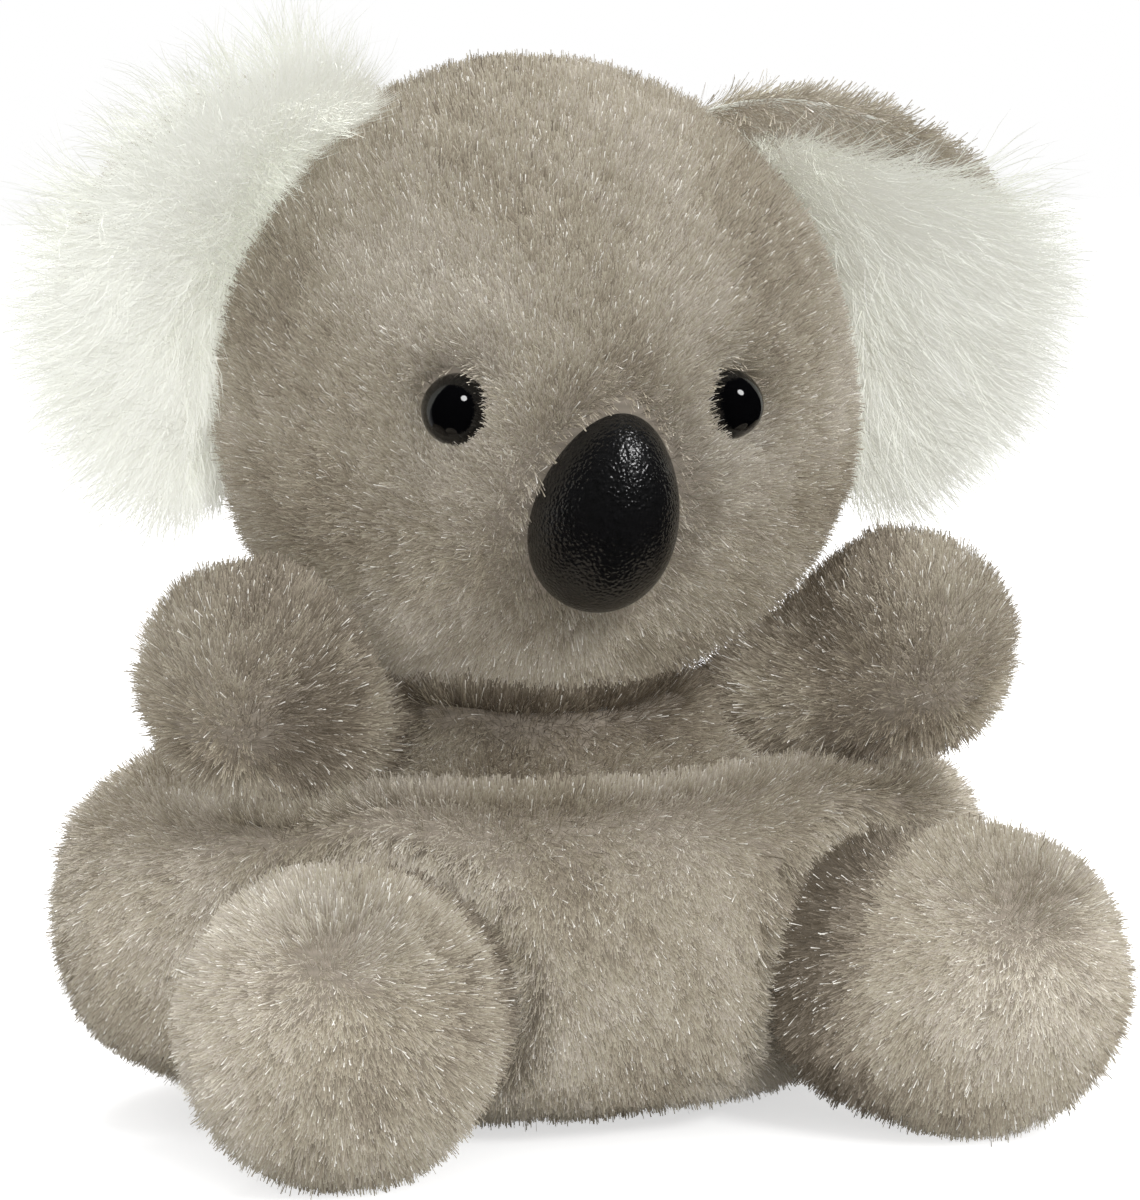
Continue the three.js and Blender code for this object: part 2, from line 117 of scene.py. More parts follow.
def new_material(name):
    """An empty node material with its Principled shader and the shader's tree."""
    material = bpy.data.materials.new(name)
    material.use_nodes = True
    return material, material.node_tree, material.node_tree.nodes["Principled BSDF"]


def seen_directly(tree, forward):
    """1 for what the camera sees, straight or in something clear, and for what shines back from behind the
    toy, where forward runs from 0 in front of it to 1 behind it. 0 for light on a piece."""
    path = add_node(tree, "ShaderNodeLightPath")
    shine = add_node(tree, "ShaderNodeMath", {0: path.outputs["Is Glossy Ray"], 1: forward},
                     operation="MULTIPLY")
    either = add_node(tree, "ShaderNodeMath", {0: path.outputs["Is Camera Ray"], 1: shine.outputs[0]},
                      operation="MAXIMUM")
    return add_node(tree, "ShaderNodeMath", {0: either.outputs[0], 1: path.outputs["Is Transmission Ray"]},
                    operation="MAXIMUM").outputs[0]


sky_grey = 0.74
sky_below, sky_above = 0.1, 1.6  # its strength from straight below and from straight above

world = bpy.data.worlds.new("studio")
bpy.context.scene.world = world
world.use_nodes = True
tree = world.node_tree
tree.nodes.clear()
sky = add_node(tree, "ShaderNodeBackground", Color=(sky_grey, sky_grey, sky_grey, 1))
path = add_node(tree, "ShaderNodeLightPath")
unshiny = add_node(tree, "ShaderNodeMath", {1: path.outputs["Is Glossy Ray"]}, operation="SUBTRACT")
unshiny.inputs[0].default_value = 1
white = add_node(tree, "ShaderNodeBackground", Color=(1, 1, 1, 1), Strength=1)
way = add_node(tree, "ShaderNodeSeparateXYZ", {0: add_node(tree, "ShaderNodeTexCoord").outputs["Generated"]})
overhead = add_node(tree, "ShaderNodeMapRange", {"Value": way.outputs["Z"]}, From_Min=-1, From_Max=1,
                    To_Min=sky_below, To_Max=sky_above)
strength = add_node(tree, "ShaderNodeMath", {0: overhead.outputs[0], 1: unshiny.outputs[0]},
                    operation="MULTIPLY")
tree.links.new(strength.outputs[0], sky.inputs["Strength"])
behind = add_node(tree, "ShaderNodeMapRange", {"Value": way.outputs["Y"]}, From_Min=0.4, From_Max=0.9)
choice = add_node(tree, "ShaderNodeMixShader",
                  {0: seen_directly(tree, behind.outputs[0]), 1: sky.outputs[0], 2: white.outputs[0]})
add_node(tree, "ShaderNodeOutputWorld", {"Surface": choice.outputs[0]})

floor_side = 3000
floor_fade = 100  # how far behind the toy the floor turns white to gloss
bpy.ops.mesh.primitive_grid_add(x_subdivisions=2, y_subdivisions=2, size=floor_side * MM)
floor = bpy.context.object
floor.name = "studio_floor"
material, tree, shader = new_material("white_paper_sweep")
tree.nodes.remove(shader)
paper = add_node(tree, "ShaderNodeBsdfDiffuse", Color=colour("d2d2d2"))
place = add_node(tree, "ShaderNodeSeparateXYZ", {0: add_node(tree, "ShaderNodeTexCoord").outputs["Object"]})
behind = add_node(tree, "ShaderNodeMapRange", {"Value": place.outputs["Y"]}, From_Min=0,
                  From_Max=floor_fade * MM)
lift = add_node(tree, "ShaderNodeEmission", {"Strength": seen_directly(tree, behind.outputs[0])},
                Color=colour("c8c8c8"))
both = add_node(tree, "ShaderNodeAddShader", {0: paper.outputs[0], 1: lift.outputs[0]})
tree.links.new(both.outputs[0], tree.nodes["Material Output"].inputs["Surface"])
floor.data.materials.append(material)
floor.visible_glossy = False  # gloss shows the world instead, which is white behind the toy too

lamps = (  # name, degrees round from the front, degrees up, distance, width, watts
    ("key_lamp", 20, 48, 700, 220, 1.8),
    ("back_lamp", 160, 65, 700, 420, 4.2),
)
for name, turn, rise, distance, width, power in lamps:
    turn, rise = math.radians(turn), math.radians(rise)
    lamp_way = Vector((math.sin(turn) * math.cos(rise), -math.cos(turn) * math.cos(rise), math.sin(rise)))
    bpy.ops.object.light_add(type="AREA", location=(aim + lamp_way * distance) * MM,
                             rotation=(-lamp_way).to_track_quat("-Z", "Y").to_euler())
    lamp = bpy.context.object
    lamp.name = name
    lamp.data.shape = "DISK"
    lamp.data.size = width * MM
    lamp.data.energy = power
    lamp.visible_glossy = name == "key_lamp"  # each button shows one glint

# Body skin
# Three panels of fur fabric sewn into a squat sack with a chest on it, stuffed with fibre over a pouch
# of pellets. The sack slumps, so it is widest low down and its top edge rolls over.
pile_depth = 2.6  # from the knitted backing, with the crushed roots of the pile on it, to the pile's even top
backing = 1.2
sweep_gap = 0.5  # between a limb's pile and the body's as the limb swings


def place_of(obj):
    """The mesh's corners in millimetres, as an array."""
    flat = np.empty(len(obj.data.vertices) * 3, np.float32)
    obj.data.vertices.foreach_get("co", flat)
    return flat.reshape(-1, 3).astype(float) / MM


def put_places(obj, places):
    obj.data.vertices.foreach_set("co", (places * MM).astype(np.float32).ravel())
    obj.data.update()


def ball(name, subdivisions=5):
    """A unit ball of even triangles, ready to be shaped."""
    bpy.ops.mesh.primitive_ico_sphere_add(subdivisions=subdivisions, radius=MM)
    obj = bpy.context.object
    obj.name = name
    obj.data.name = name
    bpy.ops.object.shade_smooth()
    return obj


def select_only(*objs):
    bpy.ops.object.select_all(action="DESELECT")
    for obj in objs:
        obj.select_set(True)
    bpy.context.view_layer.objects.active = objs[0]


def apply_modifier(obj, kind, **settings):
    modifier = obj.modifiers.new(kind.lower(), kind)
    for name, value in settings.items():
        setattr(modifier, name, value)
    select_only(obj)
    bpy.ops.object.modifier_apply(modifier=modifier.name)


def cut(obj, *cutters):
    """Cuts other objects out of one, and removes them."""
    for cutter in cutters:
        apply_modifier(obj, "BOOLEAN", operation="DIFFERENCE", object=cutter)
        bpy.data.objects.remove(cutter)


def evened(obj, voxel, smoothing):
    apply_modifier(obj, "REMESH", mode="VOXEL", voxel_size=voxel * MM, use_smooth_shade=True)
    apply_modifier(obj, "SMOOTH", factor=0.5, iterations=smoothing)


def rod(name, start, way, radius, length):
    """A straight rod from a point, in a direction."""
    bpy.ops.mesh.primitive_cylinder_add(
        vertices=32, radius=radius * MM, depth=length * MM,
        location=Vector(start + way * length / 2) * MM,
        rotation=Vector(way).to_track_quat("Z", "Y").to_euler())
    obj = bpy.context.object
    obj.name = name
    select_only(obj)
    bpy.ops.object.transform_apply()
    return obj


def unit(vectors):
    return vectors / np.maximum(np.linalg.norm(vectors, axis=-1, keepdims=True), 1e-9)


def joint_place(name):
    return np.array(joints[name]["pos_m"]) / MM


def turned(places, name, degrees):
    """Places after a joint has turned by an angle."""
    turn = np.array(Matrix.Rotation(math.radians(degrees), 3, Vector(joints[name]["axis"])))
    return (places - joint_place(name)) @ turn.T + joint_place(name)


limbs = {  # joint, degrees out from straight ahead, degrees up, root radius, tip radius, reach
    "arm": ("shoulder", 50, 28, 7, 12.6, 21),
    "leg": ("hip", 40, 0, 15, 17.1, 10),
}
sides = {"left": 1, "right": -1}


def limb_line(side_name, limb_name):
    """Where a limb starts, and the way it points."""
    joint, out, up, *_ = limbs[limb_name]
    out, up = math.radians(out), math.radians(up)
    axis = (sides[side_name] * math.sin(out) * math.cos(up), -math.cos(out) * math.cos(up), math.sin(up))
    return joint_place(f"{side_name}_{joint}"), np.array(axis)


def limb_form(name, side_name, limb_name, grow):
    """The hull of a ball at the limb's root and a larger one at its tip."""
    start, axis = limb_line(side_name, limb_name)
    root, tip, reach = limbs[limb_name][3:]
    obj = ball(name)
    directions = unit(place_of(obj))
    at_tip = (directions @ axis > (root - tip) / reach)[:, None]
    put_places(obj, np.where(at_tip, start + axis * reach + directions * (tip + grow),
                             start + directions * (root + grow)))
    return obj


sack_half = np.array((54, 39, 21.5))
sack_middle = np.array((0, 0, 21))
sack_fullness = (0.8, 0.6)  # below and above the middle: 1 is an ellipsoid, less is squarer
chest_half = np.array((29.5, 23, 21.5))
chest_middle = np.array((0, 0, 33))
head_middle = joint_place("head_nod")
neck_cup_radius, neck_cup_rise = 39, 3
neck_nap = 1.8  # what is left of the pile's depth where the head presses on it
fold_depth = 2.2  # of the crease round the chest
fold_reach, fold_width = 1.1, 0.12  # where it lies and how wide it is, where the chest's ellipsoid is 1
fold_fade = 10  # how far above the sack's middle it reaches its full depth
floor_lift = 1.2  # the backing under the toy, on its crushed pile
neck_opening = 9
neck_clear = 2  # no pile this far round the openings that the head and the body are joined by

body_skin = ball("body_skin", 6)
places = place_of(body_skin)
fullness = np.where(places[:, 2] < 0, *sack_fullness)
from_axis = np.maximum(np.hypot(places[:, 0], places[:, 1]), 1e-6)
places[:, :2] *= (from_axis ** (fullness - 1))[:, None]
places[:, 2] = np.sign(places[:, 2]) * np.abs(places[:, 2]) ** fullness
put_places(body_skin, places * (sack_half - pile_depth) + sack_middle)
chest = ball("chest")
put_places(chest, place_of(chest) * (chest_half - pile_depth) + chest_middle)
apply_modifier(body_skin, "BOOLEAN", operation="UNION", object=chest)
bpy.data.objects.remove(chest)
cup = ball("neck_cup")
put_places(cup, place_of(cup) * (neck_cup_radius + neck_nap) + head_middle + (0, 0, neck_cup_rise))
rooms = []
for limb_name in limbs:
    for side_name in sides:
        joint = f"{side_name}_{limbs[limb_name][0]}"
        first, last = joints[joint]["range_deg"]
        for angle in (first, (first + last) / 2, last):
            room = limb_form("limb_room", side_name, limb_name, sweep_gap + pile_depth)
            put_places(room, turned(place_of(room), joint, angle))
            rooms.append(room)
select_only(*rooms)
bpy.ops.object.join()
evened(rooms[0], voxel=1.5, smoothing=2)
cut(body_skin, cup, rooms[0])
evened(body_skin, voxel=1.3, smoothing=8)
places = place_of(body_skin)
from_chest = np.linalg.norm((places - chest_middle) / chest_half, axis=1) - fold_reach
folded = np.exp(-(from_chest / fold_width) ** 2)
folded *= np.clip((places[:, 2] - sack_middle[2]) / fold_fade, 0, 1)
places[:, 2] = np.maximum(places[:, 2] - fold_depth * folded, floor_lift)
put_places(body_skin, places)


knit_spacing = 1


def texture(tree, kind, **settings):
    """A texture of that kind, in the piece's own frame."""
    place = add_node(tree, "ShaderNodeTexCoord")
    return add_node(tree, f"ShaderNodeTex{kind}", {"Vector": place.outputs["Object"]}, **settings)


def bands(tree, spacing, way, **settings):
    """Bands of thread that far apart, across the way given."""
    scale = math.tau / (20 * spacing * MM)
    return texture(tree, "Wave", Scale=scale, bands_direction=way, **settings).outputs["Fac"]


def dye(tree, shader, pattern, stops, roughness):
    """Colours a shader by a pattern's (position, hex) stops."""
    dyed = add_node(tree, "ShaderNodeValToRGB", {0: pattern}, stops)
    tree.links.new(dyed.outputs[0], shader.inputs["Base Color"])
    shader.inputs["Roughness"].default_value = roughness


def emboss(tree, shader, pattern, height, strength=1, invert=False):
    """Lets a pattern stand off the surface by up to that height."""
    bump = add_node(tree, "ShaderNodeBump", {"Height": pattern}, Strength=strength, Distance=height * MM,
                    invert=invert)
    tree.links.new(bump.outputs[0], shader.inputs["Normal"])


def knit_material(name, ground, thread):
    """Warp-knitted backing: rows of thread, lighter where they stand up."""
    material, tree, shader = new_material(name)
    dye(tree, shader, bands(tree, knit_spacing, "Z", Distortion=1.5), [(0, ground), (1, thread)], 0.9)
    return material


def put_material(obj, material):
    obj.data.materials.clear()
    obj.data.materials.append(material)


def finish_piece(obj, body, material=None, nodes=()):
    """Fixes a piece to its CAD body and material, and hides the CAD nodes it stands for."""
    if material:
        put_material(obj, material)
    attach(obj, body)
    if nodes:
        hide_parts(*nodes)


grey_knit = knit_material("grey_knitted_backing", "8a8174", "978d80")
finish_piece(body_skin, "trunk", grey_knit,
             ("body_front_panel", "body_back_panel", "base_panel"))

# Grey fur
# Knitted fur fabric with a dense short pile of modacrylic, cropped and brushed one way. Fibres stand in small
# tufts whose tips draw together. Each is dyed a slightly different grey or beige, with painted shade at its
# root for the shadow deep in the pile, and a paler tip that is partly painted highlight.
bake_map = "OFBake"
dye_lots = 24  # across the bake map, from 0 to 1
palest_lot = 0.94
painted_glint_share, painted_glint_lot = 0.022, 0.98  # the few fibres painted nearly white, as painted glints
painted_shade_depth = 0.45  # how much darker the dye is painted, as painted shade under the chin and at the limbs' seams
floor_gap = 0.1  # between a crushed fibre and the floor

# Patterns that cross the seams: how much, the size of their patches and their seed.
turning = ((0.3, 16, 11), (0.22, 5, 12))  # radians
tilting = ((8, 6, 13),)  # degrees
mottling = ((0.7, 11, 14), (0.3, 3, 15))  # shares of the spread in dye
turn_scatter, tilt_scatter = 0.3, 0.15  # radians, of each tuft and again of each fibre
upright_by = 28  # degrees that an upright tuft leans less
least_lean = 0.35  # the share of its lean that pile keeps where the comb stands it up
length_scatter = 0.08  # from tuft to tuft
shortest, longest = 0.7, 1.12  # fibres, in shares of their tuft's length
draw_height = 0.92  # where a tuft's fibres draw together


def patches(places, size, seed):
    """A soft uneven pattern from -1 to 1, with patches of about that size in millimetres."""
    rng = np.random.default_rng(seed)
    total = np.zeros(len(places))
    for _ in range(7):
        wave = unit(rng.normal(size=3)) * math.tau / (size * rng.uniform(1.2, 3))
        total += np.sin(places @ wave + rng.uniform(0, math.tau))
    return np.clip(total / 3.2, -1, 1)


def varied(places, patterns):
    return sum(amount * patches(places, size, seed) for amount, size, seed in patterns)


def normals_of(obj):
    flat = np.empty(len(obj.data.vertices) * 3, np.float32)
    obj.data.vertices.foreach_get("normal", flat)
    return flat.reshape(-1, 3)


def scattered(skin, per_square, rng):
    """Even random points on a mesh in millimetres, with the surface's normals there."""
    mesh = skin.data
    mesh.calc_loop_triangles()
    corners = np.empty(len(mesh.loop_triangles) * 3, np.int32)
    mesh.loop_triangles.foreach_get("vertices", corners)
    corners = corners.reshape(-1, 3)
    places, normals = place_of(skin), normals_of(skin)
    a, b, c = (places[corners[:, i]] for i in range(3))
    area = np.cumsum(np.linalg.norm(np.cross(b - a, c - a), axis=1) / 2)
    count = int(area[-1] * per_square)
    face = np.minimum(np.searchsorted(area, rng.random(count) * area[-1]), len(area) - 1)
    first, second = np.sqrt(rng.random(count)), rng.random(count)
    share = np.stack((1 - first, first * (1 - second), first * second), axis=1)[:, :, None]
    picked = corners[face]
    return (places[picked] * share).sum(axis=1), unit((normals[picked] * share).sum(axis=1))


def across(vectors, normals):
    """What is left of vectors along the surface."""
    return vectors - normals * (vectors * normals).sum(axis=1, keepdims=True)


def spun(way, side, angle):
    """Two directions square to each other, turned together by an angle."""
    cosine, sine = np.cos(angle)[:, None], np.sin(angle)[:, None]
    return way * cosine + side * sine, side * cosine - way * sine


def pile(name, skin, comb, keep, material, per_square=35.0, length=3.4, thick=0.105, tuft=7, tuft_radius=0.4,
         draw=0.15, lean=(52, 52), spread=(0.2, 0.08, 0.07), bends=1, upright=0.15, tone=0.5, grown=None,
         painted_shade_share=None):
    """Grows fibres on a skin as flat ribbons, in tufts. Straight ones are cropped: widest at their tips.

    comb gives the way they lie, shorter where they stand up more. keep says which roots to use. grown gives
    the share of their length that they have, and crushed, from 0 to 1, how much painted shade darkens their
    dye.
    lean is in degrees from the skin's normal, at the root and at the tip. spread is how much the dye varies
    from patch to patch, from tuft to tuft and from fibre to fibre."""
    rng = np.random.default_rng(list(name.encode()))
    middle, normal = scattered(skin, per_square / tuft, rng)
    held = keep(middle)
    middle, normal = middle[held], normal[held]
    tufts = len(middle)
    combed = across(comb(middle, normal), normal)
    flatness = np.clip(np.linalg.norm(combed, axis=1), 0, 1)
    way = unit(combed + across(rng.normal(scale=0.03, size=normal.shape), normal))
    side = np.cross(normal, way)
    way, side = spun(way, side, varied(middle, turning) + rng.normal(scale=turn_scatter, size=tufts))
    tuft_lean = np.radians(varied(middle, tilting)) + rng.normal(scale=tilt_scatter, size=tufts)
    tuft_lean -= math.radians(upright_by) * (rng.random(tufts) < upright)
    tuft_shade = tone + spread[0] * varied(middle, mottling) + spread[1] * rng.normal(size=tufts)
    tuft_length = length * np.clip(rng.normal(1, length_scatter, tufts), 0.7, 1.3)
    if grown:
        tuft_length *= grown(middle)
    # Painted shade: the dye is made darker where shade falls, in place of the pile's own shadow.
    if painted_shade_share:
        tuft_shade -= painted_shade_depth * painted_shade_share(middle)

    def each(values):
        return np.repeat(values, tuft, axis=0)

    count = tufts * tuft
    fibre_normal = each(normal)
    fibre_way, fibre_side = spun(each(way), each(side), rng.normal(scale=turn_scatter, size=count))
    offset = rng.normal(scale=tuft_radius, size=(count, 2))
    line = [each(middle) + fibre_way * offset[:, :1] + fibre_side * offset[:, 1:]]
    centre = [middle]
    long = each(tuft_length) * rng.uniform(shortest, longest, count)
    tilt = each(tuft_lean) + rng.normal(scale=tilt_scatter, size=count)
    for degrees in np.linspace(*lean, bends):
        bent = np.radians(degrees) * (least_lean + (1 - least_lean) * flatness)
        angle = (each(bent) + tilt)[:, None]
        line.append(line[-1] + (long / bends)[:, None] * (
            fibre_normal * np.cos(angle) + fibre_way * np.sin(angle)))
        angle = (bent + tuft_lean)[:, None]
        centre.append(centre[-1] + (tuft_length * draw_height / bends)[:, None] * (
            normal * np.cos(angle) + way * np.sin(angle)))
    for bend in range(1, bends + 1):
        pull = draw * bend / bends
        line[bend] = line[bend] * (1 - pull) + each(centre[bend]) * pull
    line = np.stack(line, axis=1)
    line[:, :, 2] = np.maximum(line[:, :, 2], floor_gap)
    cropped = bends == 1
    if cropped:
        line = line[:, ::-1]

    direction = unit(line[:, -1] - line[:, 0])
    flat = unit(np.cross(direction, fibre_normal))
    flat = spun(flat, np.cross(flat, direction), rng.normal(scale=0.4, size=count))[0]
    half = thick / 2 * rng.uniform(0.75, 1.25, count)[:, None, None]
    taper = np.linspace(1, 0.8, bends)[None, :, None]
    per_fibre = 2 * bends + 1
    corners = np.empty((count, per_fibre, 3))
    corners[:, 0:-1:2] = line[:, :-1] - flat[:, None] * half * taper
    corners[:, 1:-1:2] = line[:, :-1] + flat[:, None] * half * taper
    corners[:, -1] = line[:, -1]

    mesh = bpy.data.meshes.new(name)
    mesh.vertices.add(count * per_fibre)
    mesh.vertices.foreach_set("co", (corners * MM).astype(np.float32).ravel())
    pattern = [c for k in range(bends - 1) for c in (2 * k, 2 * k + 1, 2 * k + 3, 2 * k + 2)]
    pattern += [2 * bends - 2, 2 * bends - 1, 2 * bends]
    starts = np.concatenate(([0], np.cumsum([4] * (bends - 1) + [3])))
    loops = (np.arange(count)[:, None] * per_fibre + np.array(pattern)[None, :]).ravel()
    starts = (np.arange(count)[:, None] * starts[-1] + starts[None, :-1]).ravel()
    mesh.loops.add(len(loops))
    mesh.loops.foreach_set("vertex_index", loops.astype(np.int32))
    mesh.polygons.add(len(starts))
    mesh.polygons.foreach_set("loop_start", starts.astype(np.int32))

    lot = each(tuft_shade) + spread[2] * rng.normal(size=count)
    # Painted glints: a few fibres take the near-white lot.
    lot = np.where(rng.random(count) < painted_glint_share, painted_glint_lot, np.clip(lot, 0, palest_lot))
    lot = np.floor(lot * dye_lots)
    along = [1, 1, 0] if cropped else [(k // 2) / bends for k in range(per_fibre - 1)] + [1]
    aslant = [0.1 if k % 2 == 0 else 0.9 for k in range(per_fibre - 1)] + [0.5]
    u = (lot[:, None] + np.array(aslant)[None, pattern]) / dye_lots
    v = np.broadcast_to(np.array(along)[None, pattern], u.shape)
    layer = mesh.uv_layers.new(name=bake_map)
    layer.uv.foreach_set("vector", np.stack((u, v), axis=-1).astype(np.float32).ravel())
    mesh.update()
    obj = bpy.data.objects.new(name, mesh)
    # Fine fibres let light through, and the skin under them throws the shadow.
    obj.visible_shadow = obj.visible_diffuse = False
    bpy.context.scene.collection.objects.link(obj)
    mesh.materials.append(material)
    return obj


def fur_material(name, shades, along):
    """Dyed fibre: shades run across the bake map, and along darkens the root as painted shade and lightens
    the tip, partly as painted highlight.
    """
    material, tree, shader = new_material(name)
    place = add_node(tree, "ShaderNodeUVMap", uv_map=bake_map)
    split = add_node(tree, "ShaderNodeSeparateXYZ", {0: place.outputs[0]})
    lot = add_node(tree, "ShaderNodeValToRGB", {0: split.outputs["X"]}, shades)
    fade = add_node(tree, "ShaderNodeValToRGB", {0: split.outputs["Y"]}, along)
    dyed = add_node(tree, "ShaderNodeMix", {6: lot.outputs[0], 7: fade.outputs[0]},
                    data_type="RGBA", blend_type="MULTIPLY")
    dyed.inputs[0].default_value = 1
    tree.links.new(dyed.outputs[2], shader.inputs["Base Color"])
    shader.inputs["Roughness"].default_value = 0.55
    shader.inputs["Specular IOR Level"].default_value = 0.35
    return material


# The palest shade, near white, is the painted glints' colour.
grey_fur = fur_material(
    "grey_modacrylic_pile",
    [(0, "5b5142"), (0.2, "82786a"), (0.35, "9f9584"), (0.5, "b3ac99"), (0.62, "b5aca1"), (0.8, "d0c9b8"),
     (1, "fdfbf5")],
    # along: painted shade at the root and a paler tip, partly painted highlight
    [(0, "958f86"), (0.5, "c2beb7"), (0.8, "e6e4e0"), (1, "ffffff")])


comb_out = 0.8  # beside the way down
stand_on_top = 0.5
base_half_width, base_half_depth = 30, 18
collar_longer, collar_width = 0.5, 3
chin_shade_radius, chin_shade_fade = 12, 7


def downwards(places, normals):
    """Out from the middle of the body and down, standing up more on top."""
    way = unit(places * (1, 1, 0)) * comb_out + (0, 0, -1)
    return way * (1 - stand_on_top * np.clip(normals[:, 2:], 0, 1))


def on_base(places):
    return (np.hypot(places[:, 0] / base_half_width, places[:, 1] / base_half_depth) < 1) & (
        places[:, 2] < sack_middle[2] / 2)


def collar_growth(places):
    """The pile stands longer round the neck, where it fills the crease under the head."""
    from_cup = np.linalg.norm(places - head_middle - (0, 0, neck_cup_rise), axis=1) - neck_cup_radius
    return 1 + collar_longer * np.exp(-(from_cup / collar_width) ** 2)


def painted_chin_shadow(places):
    """Painted shade on the chest under the head: 1 round the middle, fading outwards, and none below the
    sack's middle.
    """
    past = np.maximum(np.hypot(places[:, 0], places[:, 1]) - chin_shade_radius, 0)
    return np.exp(-(past / chin_shade_fade) ** 2) * (places[:, 2] > sack_middle[2])


def body_part(front, left):
    def keep(places):
        under_head = (places[:, 2] > sack_middle[2]) & (np.hypot(*places.T[:2]) < neck_opening + neck_clear)
        return ((places[:, 1] < 0) == front) & ((places[:, 0] > 0) == left) & ~on_base(places) & ~under_head
    return keep


for name, front, left in (("body_front_left_pile", True, True), ("body_front_right_pile", True, False),
                          ("body_back_left_pile", False, True), ("body_back_right_pile", False, False)):
    fur = pile(name, body_skin, downwards, body_part(front, left), grey_fur, per_square=35 if front else 25,
               grown=collar_growth, painted_shade_share=painted_chin_shadow)
    finish_piece(fur, "trunk")
fur = pile("base_pile", body_skin, lambda places, normals: np.broadcast_to((0.0, -1.0, 0.0), places.shape),
           on_base, grey_fur, per_square=16, thick=0.15, lean=(55, 55))
finish_piece(fur, "trunk")
apply_modifier(body_skin, "SOLIDIFY", thickness=backing * MM, offset=-1)
straight_up = np.array((0, 0, 1))
cut(body_skin, rod("neck_hole", sack_middle, straight_up, neck_opening, head_middle[2]))

# Head skin
# A face panel and a back panel sewn into a ball, with the muzzle and cheeks stuffed a little fuller.
head_radius = 35.3
head_turn = math.radians(-8.5)
head_swellings = ((0, 12, 3.4, 45), (62, 25, 1.8, 42), (-62, 25, 1.8, 42))  # side, drop, height, spread


def towards(side, drop):
    """A direction from the head's centre: degrees to its left, and down, with the head's own turn."""
    side, drop = math.radians(side) + head_turn, math.radians(drop)
    return np.array((math.sin(side) * math.cos(drop), -math.cos(side) * math.cos(drop), -math.sin(drop)))


def head_reach(directions):
    reach = np.full(len(directions), float(head_radius))
    for side, drop, height, spread in head_swellings:
        edge = math.cos(math.radians(spread))
        reach += height * np.maximum(0, (directions @ towards(side, drop) - edge) / (1 - edge)) ** 2
    return reach


button_seat = 3.5  # a button's base lies this far below the top of the pile
skin_ease = 0.3  # between a button and the backing
dimple_fade = 1.6  # how far round a button the backing is pressed in
eye_side, eye_rise = 25.5, -0.5
nose_side, nose_drop, nose_lean = 1, 18, -7.5
eye_radius = 3.9
nose_half_width, nose_half_height, nose_depth = 7.9, 11.2, 9.5
nose_taper = 0.14  # the nose is this much narrower at the top than at mid height


def face_frame(side, rise, lean):
    """A frame on the head: +Y leaves its centre and +Z is up the face."""
    return (Matrix.Translation(Vector(head_middle))
            @ Matrix.Rotation(head_turn + math.pi + math.radians(side), 4, "Z")
            @ Matrix.Rotation(math.radians(rise), 4, "X") @ Matrix.Rotation(math.radians(lean), 4, "Y"))


def into(frame, places):
    """Places seen in a frame."""
    inverse = np.array(frame.inverted())
    return places @ inverse[:3, :3].T + inverse[:3, 3]


def out_of(frame, places):
    matrix = np.array(frame)
    return places @ matrix[:3, :3].T + matrix[:3, 3]


eye_frames = {name: face_frame(side * eye_side, eye_rise, 0) for name, side in sides.items()}
nose_frame = face_frame(nose_side, -nose_drop, nose_lean)
buttons = [(eye_frames["left"], eye_radius, eye_radius, 0), (eye_frames["right"], eye_radius, eye_radius, 0),
           (nose_frame, nose_half_width, nose_half_height, nose_taper)]


def button_reach(frame, half_width, half_height, taper, places):
    """How far places lie from a button's middle, where 1 is its edge, and infinity behind the head."""
    local = into(frame, places)
    share = local[:, 2] / half_height
    reach = np.hypot(local[:, 0] / (half_width * (1 - taper * np.clip(share, -1, 1))), share)
    return np.where(local[:, 1] > 0, reach, np.inf)


def head_form(name, grow, subdivisions=5):
    obj = ball(name, subdivisions)
    directions = unit(place_of(obj))
    put_places(obj, directions * (head_reach(directions) + grow)[:, None] + head_middle)
    return obj


head_skin = head_form("head_skin", -pile_depth, 6)
places = place_of(head_skin)
for seat, half_width, half_height, taper in buttons:
    past = np.maximum(button_reach(seat, half_width, half_height, taper, places) - 1, 0) * half_width
    pressed = (button_seat + skin_ease - pile_depth) * np.exp(-(past / dimple_fade) ** 2)
    places -= unit(places - head_middle) * pressed[:, None]
put_places(head_skin, places)
finish_piece(head_skin, "head", grey_knit, ("face_panel", "head_back_panel"))

# Head fur
# The pile is brushed away from the chin: up the face and back over the crown.
crown_seam = 3
parting = head_middle + towards(0, 48) * head_radius
brushed_up = np.array((0, 0, 0.9))  # what is added to its way far from the parting
brush_from, brush_over = 0.6, 20
parting_width, parting_lean = 14, 0.3  # the pile stands up within this of the parting, to this share
side_lean, side_width = 0.25, 25  # it lies flatter on the toy's right than on its left
button_fade = 1.8  # how far round a button it stands up
button_gap = 0.2
chin_longer, chin_width = 0.3, 14
chin = parting - (0, 0, 12)


def head_comb(places, normals):
    apart = places - parting
    far = np.linalg.norm(apart, axis=1, keepdims=True)
    flatter = 1 - side_lean - side_lean * np.clip(places[:, :1] / side_width, -1, 1)
    way = unit(across(unit(apart) + brushed_up * np.clip(far / brush_over - brush_from, 0, 1), normals))
    way = way * np.clip(far / parting_width, parting_lean, 1) * flatter
    for seat, half_width, half_height, taper in buttons:
        past = (button_reach(seat, half_width, half_height, taper, places) - 1) * half_width
        way = way * (1 - np.exp(-np.maximum(past, 0) / button_fade)[:, None])
    return way


def chin_growth(places):
    """The pile is longer under the chin, where it hangs over the chest."""
    return 1 + chin_longer * np.exp(-(np.linalg.norm(places - chin, axis=1) / chin_width) ** 2)


